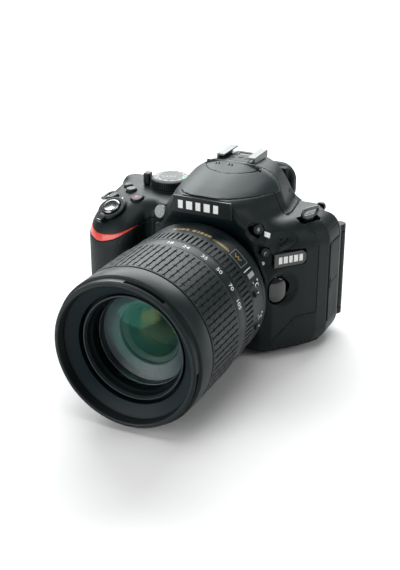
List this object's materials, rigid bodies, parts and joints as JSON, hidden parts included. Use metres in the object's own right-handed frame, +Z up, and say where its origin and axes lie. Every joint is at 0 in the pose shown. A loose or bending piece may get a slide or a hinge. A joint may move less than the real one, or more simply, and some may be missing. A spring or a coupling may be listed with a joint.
{
  "type": "dslr camera",
  "caption": "Single-lens reflex camera with hand grip, pop-up flash, folding monitor and a zoom lens that extends as its ring turns.",
  "frame": {"origin": "mouth of the tripod socket in the base, under the lens axis", "axes": "+Z up, -Y forward along the lens axis, +X towards the connector side (the viewer's left)"},
  "size_m": [0.133, 0.1585, 0.0974],
  "materials": {
    "shell": "fine-grained matt moulding",
    "grip_rubber": "grained soft rubber",
    "accent_red": "satin red",
    "gloss_black": "gloss black with pale marks",
    "hood": "matt charcoal",
    "bright_metal": "satin plated steel",
    "button_chrome": "polished plating",
    "control_black": "satin black",
    "dial": "black knurl with a silver face ring",
    "dial_rubber": "knurled rubber",
    "lamp": "clear lamp window",
    "inner_black": "flocked black",
    "mirror_face": "silvered",
    "optical_glass": "coated optical glass",
    "circuit": "solder-mask green",
    "cell": "moulded case",
    "monitor_case": "satin black",
    "lens_black": "satin black",
    "lens_rubber": "ribbed rubber",
    "switch_grey": "satin grey"
  },
  "bodies": {
    "camera": {"front_cover": "shell", "top_cover": "shell", "rear_cover": "shell", "bottom_plate": "shell", "grip_rubber": "grip_rubber", "accent_strip": "accent_red", "name_plate": "gloss_black", "badge_plate": "gloss_black", "lens_mount": "bright_metal", "mirror_box": "inner_black", "focusing_screen": "optical_glass", "pentamirror": "optical_glass", "eyepiece_lens": "optical_glass", "eyecup": "grip_rubber", "shutter_unit": "inner_black", "image_sensor": "optical_glass", "main_board": "circuit", "battery": "cell", "memory_card": "cell", "tripod_socket": "bright_metal", "hot_shoe": "bright_metal", "af_lamp": "lamp", "strap_lugs": "bright_metal"},
    "mirror": {"reflex_mirror": "mirror_face"},
    "flash": {"flash_head": "hood"},
    "monitor": {"monitor_hinge": "monitor_case", "monitor_panel": "monitor_case"},
    "lens": {"lens_bayonet": "bright_metal", "lens_barrel": "lens_black", "rear_element": "optical_glass", "aperture_unit": "inner_black"},
    "focus_grip": {"focus_ring": "lens_rubber"},
    "zoom_grip": {"zoom_ring": "lens_black", "zoom_rubber": "lens_rubber"},
    "zoom_tube": {"inner_barrel": "lens_black", "front_element": "optical_glass"},
    "battery_door": {"battery_door": "shell"},
    "card_door": {"card_door": "shell"},
    "port_cover": {"port_cover": "grip_rubber"},
    "diopter_slider": {"diopter_slider": "control_black"},
    "shutter_button": {"shutter_button": "button_chrome"},
    "power_switch": {"power_switch": "control_black"},
    "movie_button": {"movie_button": "control_black"},
    "info_button": {"info_button": "control_black"},
    "exposure_button": {"exposure_button": "control_black"},
    "drive_button": {"drive_button": "control_black"},
    "flash_button": {"flash_button": "control_black"},
    "fn_button": {"fn_button": "control_black"},
    "lens_release": {"lens_release": "control_black"},
    "mode_dial": {"mode_dial": "dial"},
    "live_view_lever": {"live_view_lever": "control_black"},
    "command_dial": {"command_dial": "dial_rubber"},
    "menu_button": {"menu_button": "control_black"},
    "playback_button": {"playback_button": "control_black"},
    "zoom_in_button": {"zoom_in_button": "control_black"},
    "delete_button": {"delete_button": "control_black"},
    "multi_selector": {"multi_selector": "control_black"},
    "ok_button": {"ok_button": "control_black"},
    "focus_switch": {"focus_switch": "switch_grey"},
    "stabiliser_switch": {"stabiliser_switch": "switch_grey"}
  },
  "joints": [
    {"name": "shutter_release", "type": "slide", "parent": "camera", "child": "shutter_button", "axis": [0.124, 0.454, -0.8823], "range_m": [0, 0.0015], "stiffness_N_per_m": 400},
    {"name": "power_switch_turn", "type": "hinge", "parent": "camera", "child": "power_switch", "pos_m": [-0.06, -0.028, 0.067], "axis": [-0.124, -0.454, 0.8823], "range_deg": [0, 35]},
    {"name": "movie_button_press", "type": "slide", "parent": "camera", "child": "movie_button", "axis": [0, 0.2419, -0.9703], "range_m": [0, 0.0007], "stiffness_N_per_m": 300},
    {"name": "info_button_press", "type": "slide", "parent": "camera", "child": "info_button", "axis": [0.0348, 0.0698, -0.997], "range_m": [0, 0.0007], "stiffness_N_per_m": 300},
    {"name": "exposure_button_press", "type": "slide", "parent": "camera", "child": "exposure_button", "axis": [0.2675, 0.2419, -0.9327], "range_m": [0, 0.0007], "stiffness_N_per_m": 300},
    {"name": "drive_button_press", "type": "slide", "parent": "camera", "child": "drive_button", "axis": [0.1391, 0.0349, -0.9897], "range_m": [0, 0.0007], "stiffness_N_per_m": 300},
    {"name": "flash_button_press", "type": "slide", "parent": "camera", "child": "flash_button", "axis": [-0.5878, 0.809, 0], "range_m": [0, 0.0007], "stiffness_N_per_m": 300},
    {"name": "fn_button_press", "type": "slide", "parent": "camera", "child": "fn_button", "axis": [-0.5592, 0.829, 0], "range_m": [0, 0.0007], "stiffness_N_per_m": 300},
    {"name": "lens_release_press", "type": "slide", "parent": "camera", "child": "lens_release", "axis": [-0.7627, 0.6468, 0], "range_m": [0, 0.001], "stiffness_N_per_m": 300},
    {"name": "menu_button_press", "type": "slide", "parent": "camera", "child": "menu_button", "axis": [0, -1, 0], "range_m": [0, 0.0007], "stiffness_N_per_m": 300},
    {"name": "playback_button_press", "type": "slide", "parent": "camera", "child": "playback_button", "axis": [0, -1, 0], "range_m": [0, 0.0007], "stiffness_N_per_m": 300},
    {"name": "zoom_in_button_press", "type": "slide", "parent": "camera", "child": "zoom_in_button", "axis": [0, -1, 0], "range_m": [0, 0.0007], "stiffness_N_per_m": 300},
    {"name": "delete_button_press", "type": "slide", "parent": "camera", "child": "delete_button", "axis": [0, -1, 0], "range_m": [0, 0.0007], "stiffness_N_per_m": 300},
    {"name": "ok_button_press", "type": "slide", "parent": "camera", "child": "ok_button", "axis": [0, -1, 0], "range_m": [0, 0.0007], "stiffness_N_per_m": 300},
    {"name": "selector_tilt", "type": "hinge", "parent": "camera", "child": "multi_selector", "pos_m": [-0.052, 0.018, 0.037], "axis": [1, 0, 0], "range_deg": [-3.5, 3.5], "stiffness_Nm_per_rad": 0.05},
    {"name": "mode_dial_turn", "type": "hinge", "parent": "camera", "child": "mode_dial", "pos_m": [-0.0414, 0.0038, 0.0732], "axis": [0, 0, 1], "continuous": true},
    {"name": "live_view_turn", "type": "hinge", "parent": "camera", "child": "live_view_lever", "pos_m": [-0.0414, 0.0038, 0.0732], "axis": [0, 0, 1], "range_deg": [0, 15], "stiffness_Nm_per_rad": 0.02},
    {"name": "command_dial_turn", "type": "hinge", "parent": "camera", "child": "command_dial", "pos_m": [-0.06, 0.0116, 0.064], "axis": [0, 0, 1], "continuous": true},
    {"name": "diopter_slide", "type": "slide", "parent": "camera", "child": "diopter_slider", "axis": [0, 0, 1], "range_m": [-0.0025, 0.0025]},
    {"name": "flash_lift", "type": "hinge", "parent": "camera", "child": "flash", "pos_m": [0, -0.0064, 0.094], "axis": [-1, 0, 0], "range_deg": [0, 55]},
    {"name": "monitor_swing", "type": "hinge", "parent": "camera", "child": "monitor", "pos_m": [0.0496, 0.022, 0.034], "axis": [0, 0, -1], "range_deg": [0, 180]},
    {"name": "battery_door_hinge", "type": "hinge", "parent": "camera", "child": "battery_door", "pos_m": [-0.053, -0.012, 0.0014], "axis": [0, -1, 0], "range_deg": [0, 90]},
    {"name": "card_door_hinge", "type": "hinge", "parent": "camera", "child": "card_door", "pos_m": [-0.0741, 0.009, 0.033], "axis": [0, 0, -1], "range_deg": [0, 85]},
    {"name": "port_cover_hinge", "type": "hinge", "parent": "camera", "child": "port_cover", "pos_m": [0.054, -0.0035, 0.036], "axis": [0, 0, -1], "range_deg": [0, 110]},
    {"name": "mirror_flip", "type": "hinge", "parent": "camera", "child": "mirror", "pos_m": [0, -0.002, 0.0525], "axis": [-1, 0, 0], "range_deg": [0, 45], "stiffness_Nm_per_rad": 0.003},
    {"name": "lens_twist", "type": "hinge", "parent": "camera", "child": "lens", "pos_m": [0, -0.036, 0.039], "axis": [0, 1, 0], "range_deg": [0, 60]},
    {"name": "focus_turn", "type": "hinge", "parent": "lens", "child": "focus_grip", "pos_m": [0, -0.067, 0.039], "axis": [0, -1, 0], "range_deg": [-45, 45]},
    {"name": "zoom_turn", "type": "hinge", "parent": "lens", "child": "zoom_grip", "pos_m": [0, -0.09, 0.039], "axis": [0, -1, 0], "range_deg": [0, 71.4]},
    {"name": "zoom_extend", "type": "slide", "parent": "lens", "child": "zoom_tube", "axis": [0, -1, 0], "range_m": [0, 0.043]},
    {"name": "focus_switch_slide", "type": "slide", "parent": "lens", "child": "focus_switch", "axis": [0, 1, 0], "range_m": [0, 0.0036]},
    {"name": "stabiliser_switch_slide", "type": "slide", "parent": "lens", "child": "stabiliser_switch", "axis": [0, 1, 0], "range_m": [0, 0.0036]}
  ],
  "couplings": [
    {"joint": "zoom_extend", "follows": "zoom_turn", "m_per_rad": 0.034505}
  ]
}
